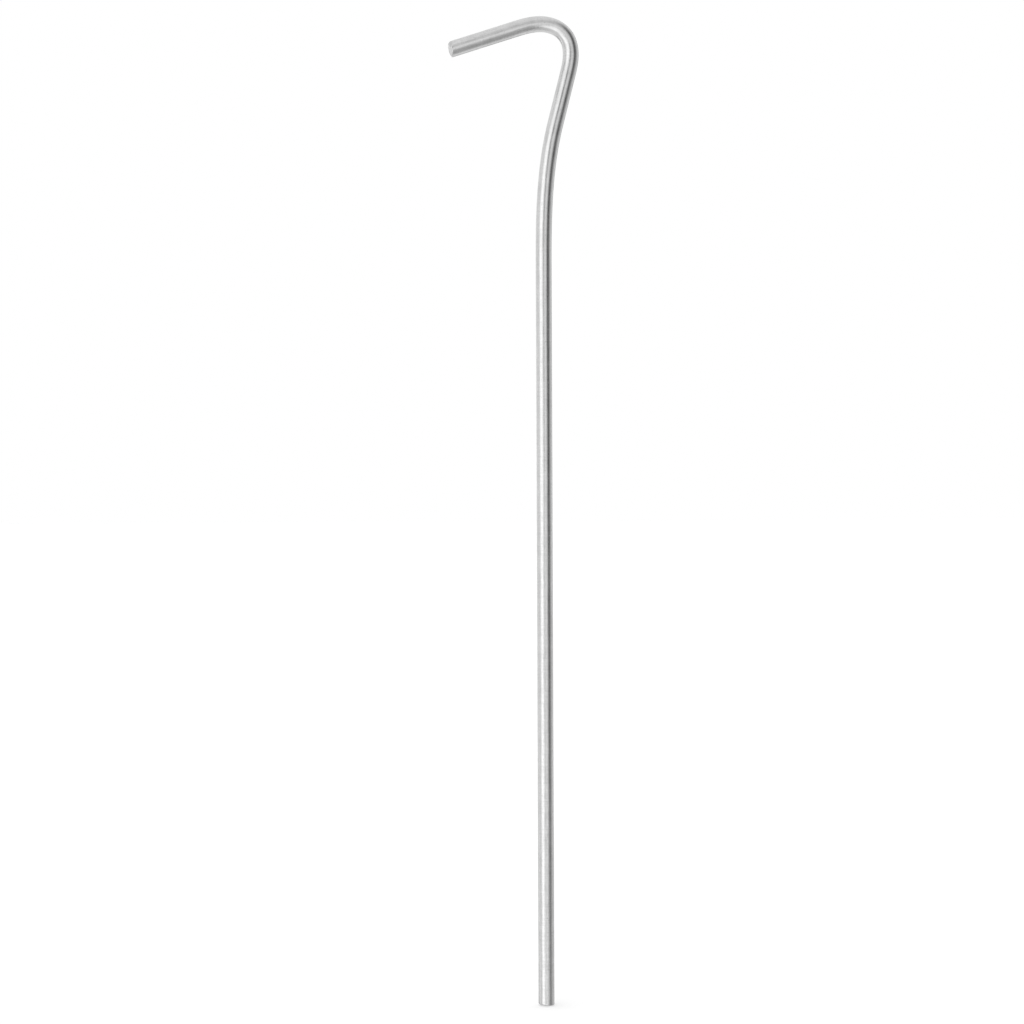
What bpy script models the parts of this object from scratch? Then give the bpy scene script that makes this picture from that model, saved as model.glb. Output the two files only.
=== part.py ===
"""A tent stake: one length of round galvanised steel rod, bent over at the top into an open hook.

Metres, +Z up. The origin is the centre of the tip's end face, and the straight shaft stands on it
along +Z. The rod is bent in the XZ plane only, with its hook opening towards -X.
"""

import math

import bpy
from mathutils import Vector

OBJECT_NAME = "tent_stake"
ROD_NAME = "stake_rod"

# Driving dimensions.
OVERALL_HEIGHT = 0.250  # from the tip's end face to the top of the hook
ROD_DIAMETER = 0.004
NECK_LENGTH = 0.0115  # the straight stretch between the two bends
ARM_LENGTH = 0.0173  # the straight end past the hook's bend
RIM_CHAMFER = 0.0003  # the rounding where each end face meets the rod's side

# The offset bend sets the neck back from the shaft, away from the arm, so that the pull of a line
# in the hook runs close to the shaft.
OFFSET_TURN = math.radians(14.3)
OFFSET_RADIUS = 0.079  # of the centreline, where this bend is tightest
OFFSET_PEAK = 0.95  # the share of the bend that lies below its tightest point

# The hook's bend brings the rod over the top and down to the arm.
HOOK_TURN = math.radians(123.2)
HOOK_RADIUS = 0.0058  # of the centreline, where this bend is tightest
HOOK_PEAK = 0.44  # the share of the bend that lies before its tightest point

# Finish.
ZINC_COLOUR = (0.70, 0.71, 0.72, 1.0)
ZINC_METALLIC = 1.0
ZINC_ROUGHNESS = 0.32

# How finely the rod is divided.
SHAFT_STEP = 0.010  # between rings along the shaft
STRAIGHT_STEP = 0.006  # between rings along the neck and the arm
OFFSET_STEP = 0.005  # between rings along the offset bend
HOOK_STEP = 0.0009  # between rings along the hook's bend
SIDE_RESOLUTION = 14  # a round bevel has 4 sides and 2 more for each step of this
RIM_SEGMENTS = 2
WELD_DISTANCE = 0.00001
RIM_ANGLE = math.radians(60)  # an edge sharper than this is an end face's rim

STRAIGHT_UP = math.pi / 2  # a heading, turned from +X towards +Z


def clear_scene():
    """Removes whatever the open file holds, so that the stake is alone."""
    for old in list(bpy.data.objects):
        bpy.data.objects.remove(old, do_unlink=True)


def extend(points, heading, length, curvature_from, curvature_to, longest_step):
    """Adds a stretch whose curvature changes evenly along it, and returns the new heading."""
    steps = max(1, math.ceil(length / longest_step))
    step = length / steps
    for index in range(steps):
        share = (index + 0.5) / steps
        turn = step * (curvature_from + (curvature_to - curvature_from) * share)
        middle = heading + turn / 2
        points.append(points[-1] + step * Vector((math.cos(middle), 0, math.sin(middle))))
        heading += turn
    return heading


def extend_straight(points, heading, length, longest_step):
    """Adds a straight stretch."""
    return extend(points, heading, length, 0, 0, longest_step)


def extend_bend(points, heading, turn, radius, peak, longest_step):
    """Adds a bend that tightens evenly to the radius at its peak, and then opens evenly again.

    Its mean curvature is half of the tightest, which gives the length that makes the whole turn.
    """
    length = 2 * radius * abs(turn)
    tightest = math.copysign(1 / radius, turn)
    heading = extend(points, heading, length * peak, 0, tightest, longest_step)
    return extend(points, heading, length * (1 - peak), tightest, 0, longest_step)


def head_points(start):
    """The centreline above the shaft: offset bend, neck, hook and arm, starting at a point."""
    points = [start]
    heading = STRAIGHT_UP
    heading = extend_bend(points, heading, -OFFSET_TURN, OFFSET_RADIUS, OFFSET_PEAK, OFFSET_STEP)
    heading = extend_straight(points, heading, NECK_LENGTH, STRAIGHT_STEP)
    heading = extend_bend(points, heading, HOOK_TURN, HOOK_RADIUS, HOOK_PEAK, HOOK_STEP)
    extend_straight(points, heading, ARM_LENGTH, STRAIGHT_STEP)
    return points


def centreline():
    """The whole centreline, from the tip at the origin to the arm's end."""
    # The shaft takes up the height that the head leaves.
    head_height = max(point.z for point in head_points(Vector((0, 0, 0)))) + ROD_DIAMETER / 2
    points = [Vector((0, 0, 0))]
    extend_straight(points, STRAIGHT_UP, OVERALL_HEIGHT - head_height, SHAFT_STEP)
    return points[:-1] + head_points(points[-1])


def zinc_material():
    """Bright zinc plating over steel: satin, and close to neutral grey."""
    material = bpy.data.materials.new("zinc_plated_steel")
    material.use_nodes = True
    shader = material.node_tree.nodes["Principled BSDF"]
    shader.inputs["Base Color"].default_value = ZINC_COLOUR
    shader.inputs["Metallic"].default_value = ZINC_METALLIC
    shader.inputs["Roughness"].default_value = ZINC_ROUGHNESS
    material.diffuse_color = ZINC_COLOUR
    return material


def rod_curve(points):
    """A round rod along the points, closed at both ends by flat caps."""
    curve = bpy.data.curves.new(ROD_NAME, "CURVE")
    curve.dimensions = "3D"
    curve.bevel_depth = ROD_DIAMETER / 2
    curve.bevel_resolution = SIDE_RESOLUTION
    curve.use_fill_caps = True
    spline = curve.splines.new("POLY")
    spline.points.add(len(points) - 1)
    for spline_point, point in zip(spline.points, points):
        spline_point.co = (*point, 1)
    return curve


def round_rims(rod):
    """Joins the caps to the rod's side, and takes the sharp rim off each end face."""
    weld = rod.modifiers.new("join_end_faces", "WELD")
    weld.merge_threshold = WELD_DISTANCE
    bevel = rod.modifiers.new("round_rims", "BEVEL")
    bevel.limit_method = "ANGLE"
    bevel.angle_limit = RIM_ANGLE
    bevel.width = RIM_CHAMFER
    bevel.segments = RIM_SEGMENTS
    bevel.loop_slide = False  # sliding along the rod's edges would push the rim out of round
    bevel.use_clamp_overlap = False


def build():
    clear_scene()
    collection = bpy.data.collections.new(OBJECT_NAME)
    bpy.context.scene.collection.children.link(collection)
    rod = bpy.data.objects.new(ROD_NAME, rod_curve(centreline()))
    rod.data.materials.append(zinc_material())
    collection.objects.link(rod)
    round_rims(rod)


build()
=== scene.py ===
"""Tent stake: the looks of a bent, zinc-plated steel rod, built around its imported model.

Metres, +Z up. The shaft stands on the tip's end face at the origin, and the rod is bent in the XZ
plane with its hook opening towards -X. Run it as a script, or step by step from the sidebar panel.
"""

import math

import bpy
from mathutils import Matrix, Vector


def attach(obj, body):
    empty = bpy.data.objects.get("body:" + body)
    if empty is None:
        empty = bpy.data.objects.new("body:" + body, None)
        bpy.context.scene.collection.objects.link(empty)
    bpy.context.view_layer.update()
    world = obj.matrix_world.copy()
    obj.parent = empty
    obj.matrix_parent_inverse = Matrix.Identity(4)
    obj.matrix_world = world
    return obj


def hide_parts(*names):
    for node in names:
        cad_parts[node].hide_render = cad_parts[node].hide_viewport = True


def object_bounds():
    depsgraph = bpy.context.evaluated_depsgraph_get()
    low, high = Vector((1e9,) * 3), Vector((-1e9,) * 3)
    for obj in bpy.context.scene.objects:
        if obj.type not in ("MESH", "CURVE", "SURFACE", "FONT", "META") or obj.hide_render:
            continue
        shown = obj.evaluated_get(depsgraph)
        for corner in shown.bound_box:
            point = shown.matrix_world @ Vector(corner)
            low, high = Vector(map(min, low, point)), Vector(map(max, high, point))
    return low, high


bl_info = {
    "name": "Tent Stake",
    "version": (1, 0, 0),
    "blender": (4, 5, 0),
    "location": "3D View > Sidebar > Tent Stake",
    "description": "Makes a bent steel rod stake with its zinc finish, and a plain studio for it",
    "category": "Object",
}

ROD_NODE = "stake_rod"
ZINC_SLOT = "zinc_plated_steel"
PIECE_NAME = "zinc_plated_rod"

MM = 0.001
STRAIGHT_UP = math.pi / 2  # a heading, turned from +X towards +Z

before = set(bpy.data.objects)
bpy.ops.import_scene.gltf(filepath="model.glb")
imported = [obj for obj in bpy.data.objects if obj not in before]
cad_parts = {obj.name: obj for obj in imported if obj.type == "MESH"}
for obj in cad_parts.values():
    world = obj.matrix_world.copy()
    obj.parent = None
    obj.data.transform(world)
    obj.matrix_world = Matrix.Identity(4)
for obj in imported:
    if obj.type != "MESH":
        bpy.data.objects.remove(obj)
CAD_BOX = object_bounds()
CAD_LOW, CAD_HIGH = CAD_BOX

# Names shared by the geometry and the materials.
STRAIGHT_PLACE = "straight_place"  # where a point would lie if the rod were unbent, standing on its tip
RIM_WEAR = "rim_wear"  # rises to 1 across the rounded rims of the two ends, 0 on the rest of the rod


# ---------------------------------------------------------------------------------------------
# Building node trees


class TreeBuilder:
    """Adds nodes to a tree and links them, so that a formula reads as a few short lines."""

    def __init__(self, tree):
        self.tree = tree

    def node(self, kind, inputs=None, **settings):
        """A new node. inputs maps a socket's name or number to a value or to another node's output."""
        made = self.tree.nodes.new(kind)
        for name, value in settings.items():
            setattr(made, name, value)
        for key, value in (inputs or {}).items():
            self.feed(made.inputs[key], value)
        return made

    def feed(self, socket, value):
        """Links an output to the socket, or sets the socket's own value."""
        if isinstance(value, bpy.types.NodeSocket):
            self.tree.links.new(value, socket)
        else:
            socket.default_value = value

    def math(self, operation, *values):
        """The result of a Math node."""
        return self.node("ShaderNodeMath", dict(enumerate(values)), operation=operation).outputs[0]

    def add(self, *values):
        """The sum of two or more values."""
        total = values[0]
        for value in values[1:]:
            total = self.math("ADD", total, value)
        return total

    def times(self, *values):
        """The product of two or more values."""
        product = values[0]
        for value in values[1:]:
            product = self.math("MULTIPLY", product, value)
        return product

    def minus(self, first, second):
        return self.math("SUBTRACT", first, second)

    def share(self, first, second):
        return self.math("DIVIDE", first, second)

    def swing(self, value):
        """A value of 0 to 1 spread over -1 to 1."""
        return self.times(self.minus(value, 0.5), 2.0)

    def clamped(self, value):
        """The value, kept between 0 and 1."""
        return self.node("ShaderNodeClamp", {"Value": value}).outputs[0]

    def smooth(self, value, low, high):
        """0 up to low, 1 from high on, and a smooth step between them."""
        made = self.node("ShaderNodeMapRange", {"Value": value}, interpolation_type="SMOOTHSTEP")
        self.feed(made.inputs["From Min"], low)
        self.feed(made.inputs["From Max"], high)
        return made.outputs["Result"]

    def mapped(self, value, low, high):
        """A value of 0 to 1 spread over low to high."""
        made = self.node("ShaderNodeMapRange", {"Value": value})
        self.feed(made.inputs["To Min"], low)
        self.feed(made.inputs["To Max"], high)
        return made.outputs["Result"]

    def vector(self, x, y, z):
        return self.node("ShaderNodeCombineXYZ", {"X": x, "Y": y, "Z": z}).outputs[0]

    def parts(self, vector):
        """The X, Y and Z of a vector."""
        return self.node("ShaderNodeSeparateXYZ", {"Vector": vector}).outputs

    def vector_math(self, operation, first, second):
        return self.node("ShaderNodeVectorMath", {0: first, 1: second}, operation=operation).outputs[0]

    def scaled(self, vector, factor):
        made = self.node("ShaderNodeVectorMath", {0: vector, "Scale": factor}, operation="SCALE")
        return made.outputs[0]

    def noise(self, vector, size, detail=2.0, roughness=0.5):
        """Noise of 0 to 1 whose features are about this size."""
        made = self.node("ShaderNodeTexNoise", {"Vector": vector, "Scale": self.share(1.0, size)})
        self.feed(made.inputs["Detail"], detail)
        self.feed(made.inputs["Roughness"], roughness)
        return made.outputs["Fac"]

    def group(self, tree, inputs):
        """A node that uses another tree."""
        kind = type(self.tree).__name__.replace("NodeTree", "NodeGroup")
        made = self.tree.nodes.new(kind)
        made.node_tree = tree
        for name, value in inputs.items():
            self.feed(made.inputs[name], value)
        return made.outputs


SOCKET_KINDS = {
    "float": "NodeSocketFloat",
    "count": "NodeSocketInt",
    "vector": "NodeSocketVector",
    "geometry": "NodeSocketGeometry",
    "material": "NodeSocketMaterial",
}


def new_tree(name, kind, inputs, outputs):
    """A node group with these sockets. Returns its builder, its inputs by name and its output node."""
    tree = bpy.data.node_groups.new(name, kind)
    for in_out, sockets in (("INPUT", inputs), ("OUTPUT", outputs)):
        for socket_name, socket_kind in sockets.items():
            tree.interface.new_socket(
                name=socket_name, in_out=in_out, socket_type=SOCKET_KINDS[socket_kind]
            )
    builder = TreeBuilder(tree)
    entry = tree.nodes.new("NodeGroupInput")
    exit_node = tree.nodes.new("NodeGroupOutput")
    return builder, {socket.name: socket for socket in entry.outputs if socket.name}, exit_node


# ---------------------------------------------------------------------------------------------
# The rod's geometry


# The names of the sweep's inputs. Each is a setting of StakeShape too, apart from the shaft's length
# and the rod's radius, which follow from other settings.
PATH_SIZES = (
    "Shaft Length",
    "Offset Turn",
    "Offset Radius",
    "Offset Peak",
    "Neck Length",
    "Hook Turn",
    "Hook Radius",
    "Hook Peak",
    "Arm Length",
    "Step Length",
)
SKIN_SIZES = (
    "Rod Radius",
    "Rim Radius",
    "Tip Roll Over",
    "Arm Roll Over",
    "Face Crown",
    "Shear Depth",
    "Shear Grain",
    "Uneven Depth",
    "Uneven Width",
    "Uneven Length",
)
RING_COUNTS = ("Sides", "Side Rings")

# How the swept rod is divided into rings, counted from either end.
FACE_RINGS = 14  # across an end face, from its centre to its rim
RIM_RINGS = 6  # round the rim
HALF_RING = 0.5  # in the test that tells an end face's faces from its rim's
CENTRE_SHARE = 0.03  # the first ring's radius, as a share of the end face's

# The marks of the shear on an end. The first two are in rod radii, counted from the rod's axis
# towards the side where the blade goes in.
ROLLED_FROM = -0.5  # the rim's rolling over starts here, and is fullest at the blade's side
TORN_EDGE = 0.2  # half the width of the step between the smooth and the torn part of the face
SHALLOWEST_TEAR = 0.4  # the least depth of the torn part, as a share of Shear Depth
TORN_LIMIT = 0.8  # the tearing fades out from this share of the face's radius to its edge


def bend_curvature_tree():
    """How sharply the rod turns at a distance along it, for one bend.

    The curvature rises evenly to 1 / Radius at the bend's peak and falls evenly to nothing, so the
    bend's length is twice its radius times its turn.
    """
    inputs = {"Distance": "float", "Start": "float", "Turn": "float", "Radius": "float", "Peak": "float"}
    outputs = {"Curvature": "float", "End": "float"}
    build, given, result = new_tree("Bend Curvature", "GeometryNodeTree", inputs, outputs)
    length = build.times(2.0, given["Radius"], build.math("ABSOLUTE", given["Turn"]))
    share = build.share(build.minus(given["Distance"], given["Start"]), length)
    rising = build.share(share, given["Peak"])
    falling = build.share(build.minus(1.0, share), build.minus(1.0, given["Peak"]))
    height = build.clamped(build.math("MINIMUM", rising, falling))
    signed = build.times(height, build.math("SIGN", given["Turn"]))
    build.feed(result.inputs["Curvature"], build.share(signed, given["Radius"]))
    build.feed(result.inputs["End"], build.add(given["Start"], length))
    return build.tree


def centreline_tree(bend_tree):
    """The rod's centreline as a curve, from the tip at the origin to the arm's end.

    It walks along the rod in short even steps, and turns at each by the curvature at its middle.
    """
    outputs = {"Curve": "geometry", "Length": "float"}
    inputs = dict.fromkeys(PATH_SIZES, "float")
    build, given, result = new_tree("Rod Centreline", "GeometryNodeTree", inputs, outputs)

    # One line of points first: how many there are needs only the lengths.
    offset_length = build.times(2.0, given["Offset Radius"], build.math("ABSOLUTE", given["Offset Turn"]))
    hook_length = build.times(2.0, given["Hook Radius"], build.math("ABSOLUTE", given["Hook Turn"]))
    total = build.add(
        given["Shaft Length"], offset_length, given["Neck Length"], hook_length, given["Arm Length"]
    )
    steps = build.math("CEIL", build.share(total, given["Step Length"]))
    step = build.share(total, steps)
    line = build.node("GeometryNodeMeshLine", {"Count": build.add(steps, 1.0)})

    # The curvature at the middle of each step.
    index = build.node("GeometryNodeInputIndex").outputs[0]
    middle = build.times(build.add(index, 0.5), step)
    offset = build.group(
        bend_tree,
        {
            "Distance": middle,
            "Start": given["Shaft Length"],
            "Turn": given["Offset Turn"],
            "Radius": given["Offset Radius"],
            "Peak": given["Offset Peak"],
        },
    )
    hook = build.group(
        bend_tree,
        {
            "Distance": middle,
            "Start": build.add(offset["End"], given["Neck Length"]),
            "Turn": given["Hook Turn"],
            "Radius": given["Hook Radius"],
            "Peak": given["Hook Peak"],
        },
    )
    turn = build.times(step, build.add(offset["Curvature"], hook["Curvature"]))

    # The heading is the sum of the turns before, and the place is the sum of the steps before.
    turned = build.node("GeometryNodeAccumulateField", {"Value": turn}).outputs["Trailing"]
    heading = build.add(turned, build.times(turn, 0.5), STRAIGHT_UP)
    direction = build.vector(build.math("COSINE", heading), 0.0, build.math("SINE", heading))
    walked = build.node("GeometryNodeAccumulateField", data_type="FLOAT_VECTOR")
    build.feed(walked.inputs["Value"], build.scaled(direction, step))
    placed = build.node("GeometryNodeSetPosition", {"Geometry": line.outputs["Mesh"]})
    build.feed(placed.inputs["Position"], walked.outputs["Trailing"])
    curve = build.node("GeometryNodeMeshToCurve", {"Mesh": placed.outputs["Geometry"]})
    build.feed(result.inputs["Curve"], curve.outputs["Curve"])
    build.feed(result.inputs["Length"], total)
    return build.tree


def swept_rod_tree(centreline):
    """The rod's skin: a closed tube swept along the centreline, with crowned, sheared ends.

    A plain cylinder's rings are shared out between the end faces, the rims and the side. Each ring
    then takes its radius and its distance from the nearer end by which share it is in.
    """
    inputs = {
        "Geometry": "geometry",
        **dict.fromkeys(PATH_SIZES + SKIN_SIZES, "float"),
        **dict.fromkeys(RING_COUNTS, "count"),
        "Zinc": "material",
        "Sheared Zinc": "material",
    }
    build, given, result = new_tree("Swept Rod", "GeometryNodeTree", inputs, {"Geometry": "geometry"})
    path = build.group(centreline, {name: given[name] for name in PATH_SIZES})

    half_rings = build.add(given["Side Rings"], float(FACE_RINGS + RIM_RINGS))
    cylinder = build.node("GeometryNodeMeshCylinder", fill_type="TRIANGLE_FAN")
    build.feed(cylinder.inputs["Vertices"], given["Sides"])
    build.feed(cylinder.inputs["Side Segments"], build.times(half_rings, 2.0))
    build.feed(cylinder.inputs["Radius"], 1.0)
    build.feed(cylinder.inputs["Depth"], 2.0)

    # Where a point is on the plain cylinder: round it, and how many rings from the nearer end.
    start = build.parts(build.node("GeometryNodeInputPosition").outputs[0])
    rings_in = build.times(build.minus(1.0, build.math("ABSOLUTE", start["Z"])), half_rings)
    end_side = build.math("SIGN", start["Z"])
    face_share = build.clamped(build.share(rings_in, float(FACE_RINGS)))
    face_share = build.math("MAXIMUM", face_share, CENTRE_SHARE)
    rim_share = build.clamped(build.share(build.minus(rings_in, float(FACE_RINGS)), float(RIM_RINGS)))
    side_share = build.clamped(
        build.share(build.minus(rings_in, float(FACE_RINGS + RIM_RINGS)), given["Side Rings"])
    )

    # A shear presses the rim over where its blade goes in, and tears the face where it comes out.
    blade_side = build.times(start["X"], end_side)
    at_arm = build.clamped(end_side)
    wider = build.times(at_arm, build.minus(given["Arm Roll Over"], given["Tip Roll Over"]))
    roll_over = build.add(given["Tip Roll Over"], wider)
    pressed = build.times(roll_over, build.smooth(blade_side, ROLLED_FROM, 1.0))
    rim = build.add(given["Rim Radius"], pressed)

    # The ring's radius and its distance from the end.
    quarter = build.times(rim_share, math.pi / 2)
    face_radius = build.times(build.minus(given["Rod Radius"], rim), face_share)
    radius = build.add(face_radius, build.times(rim, build.math("SINE", quarter)))
    crown = build.times(given["Face Crown"], face_share, face_share)
    rim_depth = build.times(rim, build.minus(1.0, build.math("COSINE", quarter)))
    half_length = build.times(path["Length"], 0.5)
    ends_depth = build.add(given["Face Crown"], rim)
    side_depth = build.times(build.minus(half_length, ends_depth), side_share)
    depth = build.add(crown, rim_depth, side_depth)
    distance = build.add(half_length, build.times(end_side, build.minus(half_length, depth)))

    # The zinc's thickness varies slowly along the rod and faster round it.
    across = build.share(given["Rod Radius"], given["Uneven Width"])
    around = build.vector(
        build.times(start["X"], across),
        build.times(start["Y"], across),
        build.share(distance, given["Uneven Length"]),
    )
    thickness = build.swing(build.noise(around, 1.0, detail=1.0))
    on_side = build.smooth(rim_share, 0.0, 1.0)
    uneven = build.times(thickness, given["Uneven Depth"], on_side)
    radius = build.add(radius, uneven)

    # The torn part of the face lies a little deeper than the smooth part.
    flat_place = build.vector(build.times(start["X"], radius), build.times(start["Y"], radius), end_side)
    torn_line = build.share(build.times(blade_side, radius), given["Rod Radius"])
    torn = build.smooth(torn_line, TORN_EDGE, -TORN_EDGE)
    tearing = build.noise(flat_place, given["Shear Grain"], detail=3.0, roughness=0.6)
    sunk = build.times(given["Shear Depth"], torn, build.mapped(tearing, SHALLOWEST_TEAR, 1.0))
    sunk = build.times(sunk, build.minus(1.0, on_side), build.smooth(face_share, 1.0, TORN_LIMIT))

    # The ring is carried out to its place on the centreline.
    sample = build.node("GeometryNodeSampleCurve", {"Curves": path["Curve"]}, mode="LENGTH")
    build.feed(sample.inputs["Length"], distance)
    across_bend = build.vector(0.0, 1.0, 0.0)
    in_bend = build.vector_math("CROSS_PRODUCT", across_bend, sample.outputs["Tangent"])
    outward = build.vector_math(
        "ADD",
        build.scaled(in_bend, build.times(start["X"], radius)),
        build.scaled(across_bend, build.times(start["Y"], radius)),
    )
    inward = build.scaled(sample.outputs["Tangent"], build.times(sunk, end_side, -1.0))
    place = build.vector_math("ADD", sample.outputs["Position"], build.vector_math("ADD", outward, inward))

    # What the materials read is kept before the points move.
    straight = build.vector(build.times(start["X"], radius), build.times(start["Y"], radius), distance)
    rim_wear = build.times(rim_share, build.minus(1.0, rim_share), 4.0)
    kept = build.node("GeometryNodeStoreNamedAttribute", data_type="FLOAT_VECTOR")
    build.feed(kept.inputs["Geometry"], cylinder.outputs["Mesh"])
    build.feed(kept.inputs["Name"], STRAIGHT_PLACE)
    build.feed(kept.inputs["Value"], straight)
    worn = build.node("GeometryNodeStoreNamedAttribute", {"Geometry": kept.outputs[0]})
    build.feed(worn.inputs["Name"], RIM_WEAR)
    build.feed(worn.inputs["Value"], rim_wear)
    captured = build.node("GeometryNodeCaptureAttribute", {"Geometry": worn.outputs[0]})
    captured.capture_items.new("FLOAT", "Rings In")
    build.feed(captured.inputs["Rings In"], rings_in)
    moved = build.node("GeometryNodeSetPosition", {"Geometry": captured.outputs["Geometry"]})
    build.feed(moved.inputs["Position"], place)
    smooth = build.node("GeometryNodeSetShadeSmooth", {"Geometry": moved.outputs["Geometry"]})

    real = build.node("GeometryNodeRealizeInstances", {"Geometry": smooth.outputs["Geometry"]})
    plated = build.node("GeometryNodeSetMaterial", {"Geometry": real.outputs["Geometry"]})
    build.feed(plated.inputs["Material"], given["Zinc"])
    is_face = build.math("LESS_THAN", captured.outputs["Rings In"], FACE_RINGS - HALF_RING)
    sheared = build.node("GeometryNodeSetMaterial", {"Geometry": plated.outputs["Geometry"]})
    build.feed(sheared.inputs["Selection"], is_face)
    build.feed(sheared.inputs["Material"], given["Sheared Zinc"])
    build.feed(result.inputs["Geometry"], sheared.outputs["Geometry"])
    return build.tree


def head_height(shape):
    """How far the hook's crest centreline stands above the top of the straight shaft."""
    step = shape.step_length
    lengths = (2 * shape.offset_radius * shape.offset_turn, 2 * shape.hook_radius * shape.hook_turn)
    heading, height, highest = STRAIGHT_UP, 0.0, 0.0
    stretches = (
        (lengths[0], -1 / shape.offset_radius, shape.offset_peak),
        (shape.neck_length, 0.0, 1.0),
        (lengths[1], 1 / shape.hook_radius, shape.hook_peak),
    )
    for length, tightest, peak in stretches:
        for index in range(round(length / step)):
            share = (index + 0.5) * step / length
            rising = share / peak
            falling = (1 - share) / (1 - peak) if peak < 1 else 1.0
            turn = step * tightest * max(0.0, min(rising, falling))
            height += step * math.sin(heading + turn / 2)
            heading += turn
            highest = max(highest, height)
    return highest


def set_tree_inputs(modifier, values):
    """Sets a Geometry Nodes modifier's inputs, each found by its name and set by its identifier."""
    for item in modifier.node_group.interface.items_tree:
        if item.item_type == "SOCKET" and item.in_out == "INPUT" and item.name in values:
            modifier[item.identifier] = values[item.name]


def swept_rod_mesh(shape, materials):
    """The finished rod as a plain mesh."""
    tree = swept_rod_tree(centreline_tree(bend_curvature_tree()))
    carrier = bpy.data.objects.new("rod_sweep", bpy.data.meshes.new("rod_sweep"))
    bpy.context.scene.collection.objects.link(carrier)
    sweep = carrier.modifiers.new("sweep_rod", "NODES")
    sweep.node_group = tree
    rod_radius = shape.rod_diameter / 2
    values = {
        "Shaft Length": shape.overall_height - rod_radius - head_height(shape),
        "Offset Turn": -shape.offset_turn,
        "Rod Radius": rod_radius,
        "Zinc": materials[0],
        "Sheared Zinc": materials[1],
    }
    for name in PATH_SIZES + SKIN_SIZES + RING_COUNTS:
        if name not in values:
            values[name] = getattr(shape, name.lower().replace(" ", "_"))
    set_tree_inputs(sweep, values)
    graph = bpy.context.evaluated_depsgraph_get()
    mesh = bpy.data.meshes.new_from_object(
        carrier.evaluated_get(graph), preserve_all_data_layers=True, depsgraph=graph
    )
    bpy.data.objects.remove(carrier)
    mesh.name = PIECE_NAME
    return mesh


# ---------------------------------------------------------------------------------------------
# Materials


MOTTLE_PACE = 0.45  # how fast the mottling changes along the rod, where 1 is as fast as across it
PATCH_WEIGHT = 0.55  # the cloudy patches' share in the mottling; the speckle has the rest
PIT_FLOOR = 0.3  # the flat bottom of a pinhole, as a share of its radius

# The end faces' finish.
TORN_PATCH = 3  # the patches' size, as a multiple of Tear Size
TORN_CONTRAST = 2  # the mottling's contrast, as a multiple of the side's
SCORE_PACE = 0.1  # how fast the blade's scores change along its way, where 1 is as fast as across it
SCORE_DEPTH = 2  # the scores' relief, as a multiple of the drawn lines'


def zinc_mottle_tree():
    """Cloudy patches and fine speckle in a zinc coat, as a shade around 1 and a gloss mask."""
    inputs = {"Place": "vector", "Patch Size": "float", "Speck Size": "float", "Contrast": "float"}
    outputs = {"Shade": "float", "Dullness": "float"}
    build, given, result = new_tree("Zinc Mottle", "ShaderNodeTree", inputs, outputs)
    stretched = build.vector_math("MULTIPLY", given["Place"], (1.0, 1.0, MOTTLE_PACE))
    patches = build.noise(stretched, given["Patch Size"], detail=3.0, roughness=0.55)
    specks = build.noise(stretched, given["Speck Size"], detail=2.0, roughness=0.7)
    mixed = build.add(build.times(patches, PATCH_WEIGHT), build.times(specks, 1 - PATCH_WEIGHT))
    change = build.times(build.swing(mixed), given["Contrast"])
    build.feed(result.inputs["Shade"], build.add(change, 1.0))
    build.feed(result.inputs["Dullness"], build.clamped(patches))
    return build.tree


def drawn_grain_tree():
    """Fine lines along a rod, or round it where they are wider than long, as a height of 0 to 1."""
    inputs = {"Place": "vector", "Line Width": "float", "Line Length": "float"}
    build, given, result = new_tree("Drawn Grain", "ShaderNodeTree", inputs, {"Height": "float"})
    part = build.parts(given["Place"])
    lines = build.vector(
        build.share(part["X"], given["Line Width"]),
        build.share(part["Y"], given["Line Width"]),
        build.share(part["Z"], given["Line Length"]),
    )
    build.feed(result.inputs["Height"], build.noise(lines, 1.0, detail=3.0, roughness=0.6))
    return build.tree


def fine_pits_tree():
    """Sparse pinholes in the coat, as a depth of 0 to 1."""
    inputs = {"Place": "vector", "Pit Spacing": "float", "Pit Share": "float"}
    build, given, result = new_tree("Fine Pits", "ShaderNodeTree", inputs, {"Depth": "float"})
    cells = build.node("ShaderNodeTexVoronoi", {"Vector": given["Place"]})
    build.feed(cells.inputs["Scale"], build.share(1.0, given["Pit Spacing"]))
    floor = build.times(given["Pit Share"], PIT_FLOOR)
    pit = build.smooth(cells.outputs["Distance"], given["Pit Share"], floor)
    build.feed(result.inputs["Depth"], pit)
    return build.tree


def attribute(build, name):
    """The named attribute of the piece."""
    return build.node("ShaderNodeAttribute", attribute_name=name)


def base_material(name):
    """An empty node material. Returns it, its builder and its Principled shader."""
    material = bpy.data.materials.new(name)
    material.use_nodes = True
    shader = material.node_tree.nodes["Principled BSDF"]
    return material, TreeBuilder(material.node_tree), shader


def tinted(build, colour, shade):
    """The colour, made lighter or darker by the shade."""
    made = build.node("ShaderNodeVectorMath", {0: tuple(colour)[:3], "Scale": shade}, operation="SCALE")
    return made.outputs[0]


def bumped(build, height, depth, below=None):
    """A normal that shows the height as relief of this depth, over any relief below."""
    bump = build.node("ShaderNodeBump", {"Height": height, "Distance": depth})
    if below is not None:
        build.feed(bump.inputs["Normal"], below)
    return bump.outputs["Normal"]


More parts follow.
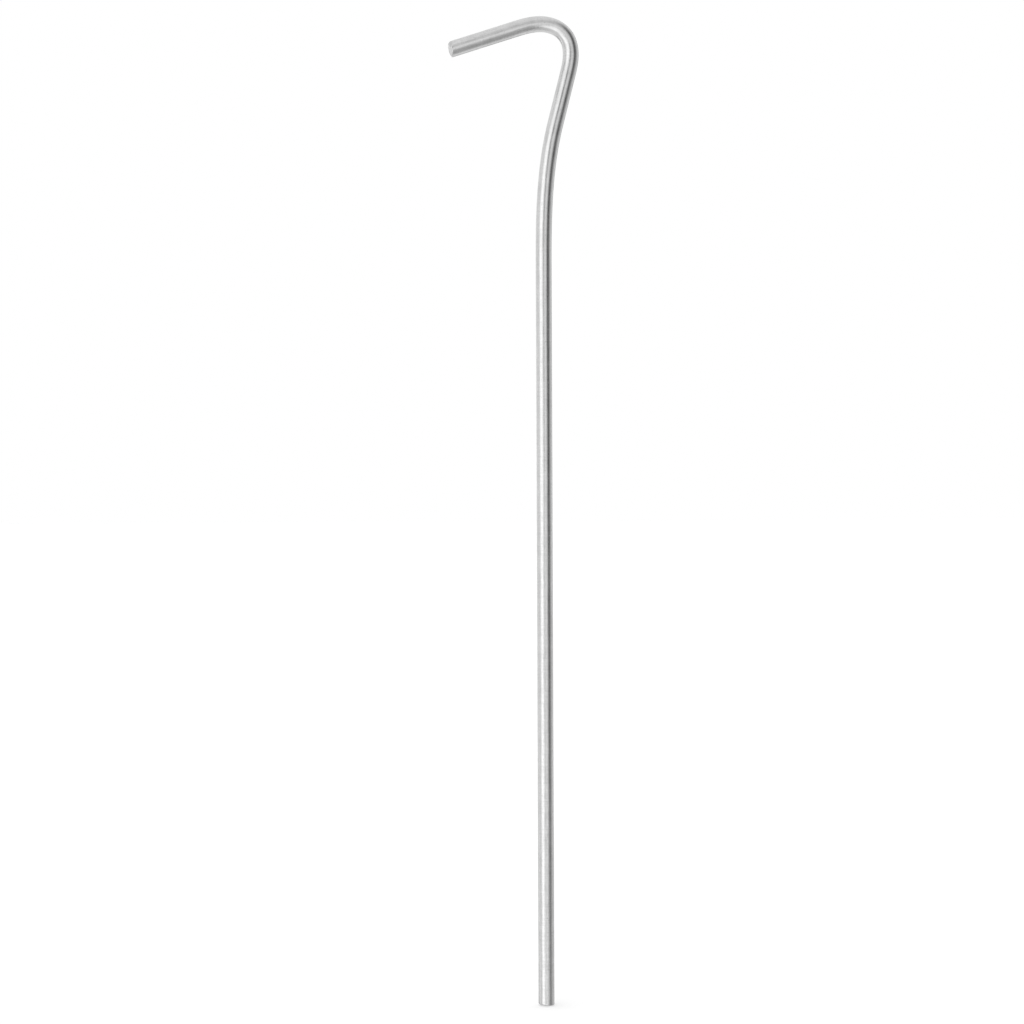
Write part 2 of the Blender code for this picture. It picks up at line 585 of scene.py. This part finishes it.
def zinc_material(finish, groups):
    """Bright zinc on a drawn rod: satin, faintly mottled, with fine lines along its length."""
    material, build, shader = base_material(ZINC_SLOT)
    place = attribute(build, STRAIGHT_PLACE).outputs["Vector"]
    wear = attribute(build, RIM_WEAR).outputs["Fac"]
    mottle = build.group(
        groups["mottle"],
        {
            "Place": place,
            "Patch Size": finish.patch_size,
            "Speck Size": finish.speck_size,
            "Contrast": finish.mottle_contrast,
        },
    )
    grain = build.group(
        groups["grain"],
        {"Place": place, "Line Width": finish.grain_width, "Line Length": finish.grain_length},
    )["Height"]
    rings = build.group(
        groups["grain"],
        {"Place": place, "Line Width": finish.ring_width, "Line Length": finish.ring_length},
    )["Height"]
    pits = build.group(
        groups["pits"],
        {"Place": place, "Pit Spacing": finish.pit_spacing, "Pit Share": finish.pit_share},
    )["Depth"]
    streaks = build.times(build.swing(grain), finish.grain_contrast)
    marks = build.times(build.swing(rings), finish.ring_contrast)
    shade = build.add(mottle["Shade"], streaks, marks)
    shade = build.minus(shade, build.times(pits, finish.pit_darkening))
    shade = build.minus(shade, build.times(wear, finish.rim_darkening))
    build.feed(shader.inputs["Base Color"], tinted(build, finish.zinc_colour, shade))
    roughness = build.mapped(mottle["Dullness"], finish.roughness_low, finish.roughness_high)
    grain_dulling = build.times(build.minus(grain, 0.5), finish.grain_dulling)
    build.feed(shader.inputs["Roughness"], build.add(roughness, grain_dulling))
    shader.inputs["Metallic"].default_value = 1.0
    normal = bumped(build, grain, finish.grain_depth)
    normal = bumped(build, build.minus(1.0, pits), finish.pit_depth, normal)
    build.feed(shader.inputs["Normal"], normal)
    return material


def sheared_material(finish, groups):
    """The zinc over a sheared end face: darker and duller than the side, with the blade's scores."""
    material, build, shader = base_material("sheared_zinc")
    place = attribute(build, STRAIGHT_PLACE).outputs["Vector"]
    mottle = build.group(
        groups["mottle"],
        {
            "Place": place,
            "Patch Size": finish.tear_size * TORN_PATCH,
            "Speck Size": finish.tear_size,
            "Contrast": finish.mottle_contrast * TORN_CONTRAST,
        },
    )
    scores = build.group(
        groups["grain"],
        {
            "Place": build.vector_math("MULTIPLY", place, (SCORE_PACE, 1.0, 1.0)),
            "Line Width": finish.grain_width,
            "Line Length": finish.grain_length,
        },
    )["Height"]
    shade = build.times(mottle["Shade"], finish.sheared_shade)
    build.feed(shader.inputs["Base Color"], tinted(build, finish.zinc_colour, shade))
    rough = build.add(build.times(scores, finish.grain_dulling), finish.sheared_roughness)
    build.feed(shader.inputs["Roughness"], rough)
    shader.inputs["Metallic"].default_value = 1.0
    build.feed(shader.inputs["Normal"], bumped(build, scores, finish.grain_depth * SCORE_DEPTH))
    return material


def surface_groups():
    """The effects that the two finishes share."""
    return {"mottle": zinc_mottle_tree(), "grain": drawn_grain_tree(), "pits": fine_pits_tree()}


# ---------------------------------------------------------------------------------------------
# The studio


NEAREST_SEEN = 0.01  # how near the camera sees, as a share of its distance
STUDIO_WALLS = 0.98  # how bright the studio is where no panel covers it, where 1 is white

# Each panel of the studio, in degrees: bearing from the camera's side, counted towards the
# camera's right, and half width; height above the horizon and half height; how soft its edges are;
# and how bright it is, where 1 is white. A later panel covers an earlier one.
STUDIO_PANELS = {
    "left softbox": (-41, 21, -9, 35, 12, 1.66),
    "lit table": (2, 32, -38, 20, 9, 1.48),
    "upper right shade": (30, 24, 34, 19, 12, 0.78),
    "right fill": (19, 9, -8, 16, 6, 1.12),
    "right shade": (84, 32, -5, 66, 15, 0.6),
    "right flag": (63, 20, 16, 29, 14, 0.14),
    "camera": (-4, 8, 19, 12, 8, 0.25),
    "low right haze": (39, 14, -25, 12, 8, 0.7),
    "low right shade": (57, 27, -47, 27, 11, 0.5),
    "low right flag": (84, 20, -33, 11, 8, 0.2),
    "low left shade": (-78, 18, -22, 14, 8, 0.88),
    "ground": (0, 180, -90, 22, 10, 0.85),
    "low rear shade": (-132, 15, -27, 15, 8, 0.5),
    "low rear softbox": (-106, 7, -27, 15, 5, 1.5),
    "low back shade": (152, 22, -18, 10, 6, 0.6),
    "upper rear shade": (-168, 12, 18, 10, 6, 0.65),
    "rear flag": (158, 11, 2, 26, 6, 0.15),
    "rear softbox": (-157, 10, 1, 6, 5, 1.25),
}


def studio_panel_tree():
    """One soft-edged panel of the studio, laid over what is behind it."""
    names = ("Behind", "Bearing", "Height", "Panel Bearing", "Half Width", "Panel Height")
    names += ("Half Height", "Edge", "Level")
    inputs = dict.fromkeys(names, "float")
    build, given, result = new_tree("Studio Panel", "ShaderNodeTree", inputs, {"Radiance": "float"})
    turn = build.minus(given["Bearing"], given["Panel Bearing"])
    turn = build.math("ABSOLUTE", build.math("WRAP", turn, math.pi, -math.pi))
    rise = build.math("ABSOLUTE", build.minus(given["Height"], given["Panel Height"]))
    masks = []
    for away, half in ((turn, given["Half Width"]), (rise, given["Half Height"])):
        outer = build.add(half, given["Edge"])
        inner = build.minus(half, given["Edge"])
        masks.append(build.minus(1.0, build.smooth(away, inner, outer)))
    mask = build.times(*masks)
    step = build.times(mask, build.minus(given["Level"], given["Behind"]))
    build.feed(result.inputs["Radiance"], build.add(given["Behind"], step))
    return build.tree


def studio_world(studio):
    """Soft studio light all round, as the rod mirrors it, and plain white to the camera."""
    world = bpy.data.worlds.new("studio")
    world.use_nodes = True
    build = TreeBuilder(world.node_tree)
    direction = build.parts(build.node("ShaderNodeTexCoord").outputs["Generated"])
    bearing = build.math("ARCTAN2", direction["X"], build.times(direction["Y"], -1.0))
    bearing = build.minus(bearing, studio.camera_bearing)
    height = build.math("ARCSINE", direction["Z"])
    panel_tree = studio_panel_tree()
    radiance = STUDIO_WALLS
    sockets = ("Panel Bearing", "Half Width", "Panel Height", "Half Height", "Edge")
    for *angles, level in STUDIO_PANELS.values():
        inputs = {"Behind": radiance, "Bearing": bearing, "Height": height, "Level": level}
        inputs.update(zip(sockets, map(math.radians, angles)))
        radiance = build.group(panel_tree, inputs)["Radiance"]
    seen = build.node("ShaderNodeLightPath").outputs["Is Camera Ray"]
    shown = build.add(radiance, build.times(seen, build.minus(studio.backdrop_level, radiance)))
    background = world.node_tree.nodes["Background"]
    build.feed(background.inputs["Strength"], shown)
    background.inputs["Color"].default_value = (1.0, 1.0, 1.0, 1.0)
    return world


def floor_material(studio):
    """Matt pale paint, lifted a little so that it runs into the white behind it."""
    material, _, shader = base_material("pale_floor")
    shader.inputs["Base Color"].default_value = (*studio.floor_colour, 1.0)
    shader.inputs["Roughness"].default_value = 1.0
    shader.inputs["Specular IOR Level"].default_value = 0.0
    shader.inputs["Emission Color"].default_value = (1.0, 1.0, 1.0, 1.0)
    shader.inputs["Emission Strength"].default_value = studio.floor_lift
    return material


def floor_object(studio):
    """A wide plain floor just under the tip."""
    half = studio.floor_width / 2
    height = CAD_LOW.z - studio.floor_gap
    corners = [(x * half, y * half, height) for x, y in ((-1, -1), (1, -1), (1, 1), (-1, 1))]
    mesh = bpy.data.meshes.new("floor")
    mesh.from_pydata(corners, [], [(0, 1, 2, 3)])
    mesh.materials.append(floor_material(studio))
    floor = bpy.data.objects.new("floor", mesh)
    bpy.context.scene.collection.objects.link(floor)
    floor.visible_glossy = False  # the rod mirrors the studio's panels instead
    return floor


def camera_object(studio):
    """A level camera that stands a little round towards the hook's side of the stake."""
    bearing = studio.camera_bearing
    back = Vector((math.sin(bearing), -math.cos(bearing), 0.0))
    right = Vector((math.cos(bearing), math.sin(bearing), 0.0))
    target = right * studio.framing_right
    target.z = (CAD_LOW.z + CAD_HIGH.z) / 2 + studio.framing_up
    lens = bpy.data.cameras.new("camera")
    lens.lens = studio.lens_length
    lens.clip_start = studio.camera_distance * NEAREST_SEEN
    lens.clip_end = studio.floor_width
    camera = bpy.data.objects.new("camera", lens)
    bpy.context.scene.collection.objects.link(camera)
    turned = (-back).to_track_quat("-Z", "Y").to_matrix().to_4x4()
    roll = Matrix.Rotation(studio.camera_roll, 4, "Z")
    camera.matrix_world = Matrix.Translation(target + back * studio.camera_distance) @ turned @ roll
    return camera


# ---------------------------------------------------------------------------------------------
# Settings, operators and panel


def length(name, default, description, precision=5):
    return bpy.props.FloatProperty(
        name=name, default=default, description=description, unit="LENGTH", precision=precision
    )


def angle(name, degrees, description):
    return bpy.props.FloatProperty(
        name=name, default=math.radians(degrees), description=description, subtype="ANGLE"
    )


def number(name, default, description):
    return bpy.props.FloatProperty(name=name, default=default, description=description, precision=3)


def colour(name, default, description):
    return bpy.props.FloatVectorProperty(
        name=name, default=default, description=description, subtype="COLOR", size=3, min=0, max=1
    )


class StakeShape(bpy.types.PropertyGroup):
    """Sizes of the bent rod."""

    overall_height: length("Overall Height", CAD_HIGH.z - CAD_LOW.z, "Tip's end face to top of hook")
    rod_diameter: length("Rod Diameter", CAD_HIGH.y - CAD_LOW.y, "Thickness of the round rod")
    neck_length: length("Neck Length", 11.5 * MM, "Straight stretch between the two bends")
    arm_length: length("Arm Length", 17.3 * MM, "Straight end past the hook's bend")
    rim_radius: length("Rim Radius", 0.25 * MM, "Least rounding where an end face meets the side")
    tip_roll_over: length("Tip Roll Over", 0.35 * MM, "Extra rounding on one side of the tip")
    arm_roll_over: length("Arm Roll Over", 0.8 * MM, "Extra rounding on one side of the arm's end")
    offset_turn: angle("Offset Turn", 14.3, "How far the lower bend leans the neck back")
    offset_radius: length("Offset Radius", 79.0 * MM, "Centreline radius where the lower bend is tightest")
    offset_peak: number("Offset Peak", 0.95, "Share of the lower bend below its tightest point")
    hook_turn: angle("Hook Turn", 123.2, "How far the hook's bend turns the rod")
    hook_radius: length("Hook Radius", 5.8 * MM, "Centreline radius where the hook is tightest")
    hook_peak: number("Hook Peak", 0.44, "Share of the hook's bend before its tightest point")
    step_length: length("Step Length", 0.2 * MM, "Step of the walk along the centreline")
    face_crown: length("Face Crown", 0.03 * MM, "How far an end face bulges at its centre")
    shear_depth: length("Shear Depth", 0.14 * MM, "How deep the torn part of an end face lies")
    shear_grain: length("Shear Grain", 0.7 * MM, "Size of the tears in an end face")
    uneven_depth: length("Uneven Depth", 0.02 * MM, "How far the zinc's surface wanders")
    uneven_width: length("Uneven Width", 1.8 * MM, "Size of the wander round the rod")
    uneven_length: length("Uneven Length", 16.0 * MM, "Size of the wander along the rod")
    sides: bpy.props.IntProperty(name="Sides", default=64, min=3, description="Points round the rod")
    side_rings: bpy.props.IntProperty(
        name="Side Rings", default=520, min=1, description="Rings from an end's rim to mid-length"
    )


class StakeFinish(bpy.types.PropertyGroup):
    """Colours and textures of the zinc coat."""

    zinc_colour: colour("Zinc Colour", (0.62, 0.62, 0.62), "Colour of the bright zinc coat")
    mottle_contrast: number("Mottle Contrast", 0.28, "How much the coat's shade varies")
    patch_size: length("Patch Size", 1.6 * MM, "Size of the cloudy patches")
    speck_size: length("Speck Size", 0.3 * MM, "Size of the fine speckle")
    roughness_low: number("Lowest Roughness", 0.16, "Roughness of the brightest patches")
    roughness_high: number("Highest Roughness", 0.30, "Roughness of the dullest patches")
    grain_width: length("Grain Width", 0.24 * MM, "Width of the lines along the rod")
    grain_length: length("Grain Length", 3.5 * MM, "Length of the lines along the rod")
    grain_depth: length("Grain Depth", 0.005 * MM, "Relief of the lines along the rod", 7)
    grain_contrast: number("Grain Contrast", 0.2, "How much the lines vary the coat's shade")
    ring_width: length("Ring Width", 5.0 * MM, "How far the straightening rolls' marks reach round")
    ring_length: length("Ring Length", 0.3 * MM, "Length of the rolls' marks along the rod")
    ring_contrast: number("Ring Contrast", 0.1, "How much the rolls' marks vary the coat's shade")
    grain_dulling: number("Grain Dulling", 0.08, "How much the lines vary the roughness")
    pit_spacing: length("Pit Spacing", 1.1 * MM, "Typical distance between pinholes")
    pit_share: number("Pit Share", 0.11, "Radius of a pinhole as a share of the spacing")
    pit_depth: length("Pit Depth", 0.02 * MM, "Relief of the pinholes", 7)
    pit_darkening: number("Pit Darkening", 0.25, "How much darker a pinhole is")
    rim_darkening: number("Rim Darkening", 0.12, "How much darker the zinc is on the rims of the cut ends")
    tear_size: length("Tear Size", 0.18 * MM, "Size of the texture on an end face")
    sheared_shade: number("Sheared Shade", 0.9, "Shade of the end faces against the side")
    sheared_roughness: number("Sheared Roughness", 0.28, "Roughness of the end faces")


class StakeStudio(bpy.types.PropertyGroup):
    """Floor, light and camera."""

    floor_width: length("Floor Width", 60.0, "Width of the floor", 2)
    floor_gap: length("Floor Gap", 0.1 * MM, "Distance of the floor under the tip")
    floor_colour: colour("Floor Colour", (0.82, 0.82, 0.82), "Colour of the floor")
    floor_lift: number("Floor Lift", 0.32, "Light that the floor adds to what it catches")
    backdrop_level: number("Backdrop Level", 1.0, "Brightness of the background, where 1 is white")
    camera_bearing: angle("Camera Bearing", -10.0, "Where the camera stands, from -Y towards +X")
    camera_distance: length("Camera Distance", 0.6114, "Distance from the stake")
    camera_roll: angle("Camera Roll", -0.22, "Turn of the camera about its line of sight")
    lens_length: bpy.props.FloatProperty(
        name="Lens", default=85.0, subtype="DISTANCE_CAMERA", description="Focal length"
    )
    framing_right: length("Framing Right", -8.23 * MM, "How far right of the shaft it looks")
    framing_up: length("Framing Up", -0.38 * MM, "How far above the stake's mid-height it looks")


class STAKE_OT_make_rod(bpy.types.Operator):
    """Sweep the bent rod with its zinc coat and sheared ends"""

    bl_idname = "stake.make_rod"
    bl_label = "Make Rod"

    def execute(self, context):
        groups = surface_groups()
        finish = context.scene.stake_finish
        materials = (zinc_material(finish, groups), sheared_material(finish, groups))
        rod = bpy.data.objects.new(PIECE_NAME, swept_rod_mesh(context.scene.stake_shape, materials))
        context.scene.collection.objects.link(rod)
        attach(rod, "root")
        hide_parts(ROD_NODE)
        return {"FINISHED"}


class STAKE_OT_make_stage(bpy.types.Operator):
    """Lay the floor, light the studio and place the camera"""

    bl_idname = "stake.make_stage"
    bl_label = "Make Stage"

    def execute(self, context):
        studio = context.scene.stake_studio
        floor_object(studio)
        context.scene.world = studio_world(studio)
        context.scene.camera = camera_object(studio)
        context.scene.view_settings.view_transform = "Standard"
        return {"FINISHED"}


class STAKE_PT_sidebar(bpy.types.Panel):
    """Lists the steps and their settings"""

    bl_idname = "STAKE_PT_sidebar"
    bl_label = "Tent Stake"
    bl_space_type = "VIEW_3D"
    bl_region_type = "UI"
    bl_category = "Tent Stake"

    def draw(self, context):
        for title, operator, settings in STEPS:
            box = self.layout.box()
            box.label(text=title)
            for name in settings:
                group = getattr(context.scene, name)
                for key in type(group).__annotations__:
                    box.prop(group, key)
            box.operator(operator)


STEPS = (
    ("Rod", STAKE_OT_make_rod.bl_idname, ("stake_shape", "stake_finish")),
    ("Stage", STAKE_OT_make_stage.bl_idname, ("stake_studio",)),
)
SETTINGS = {"stake_shape": StakeShape, "stake_finish": StakeFinish, "stake_studio": StakeStudio}
CLASSES = (*SETTINGS.values(), STAKE_OT_make_rod, STAKE_OT_make_stage, STAKE_PT_sidebar)


def register():
    for cls in CLASSES:
        bpy.utils.register_class(cls)
    for name, group in SETTINGS.items():
        setattr(bpy.types.Scene, name, bpy.props.PointerProperty(type=group))


def unregister():
    for name in SETTINGS:
        delattr(bpy.types.Scene, name)
    for cls in reversed(CLASSES):
        bpy.utils.unregister_class(cls)


def main():
    register()
    bpy.ops.stake.make_rod()
    bpy.ops.stake.make_stage()


if __name__ == "__main__":
    main()
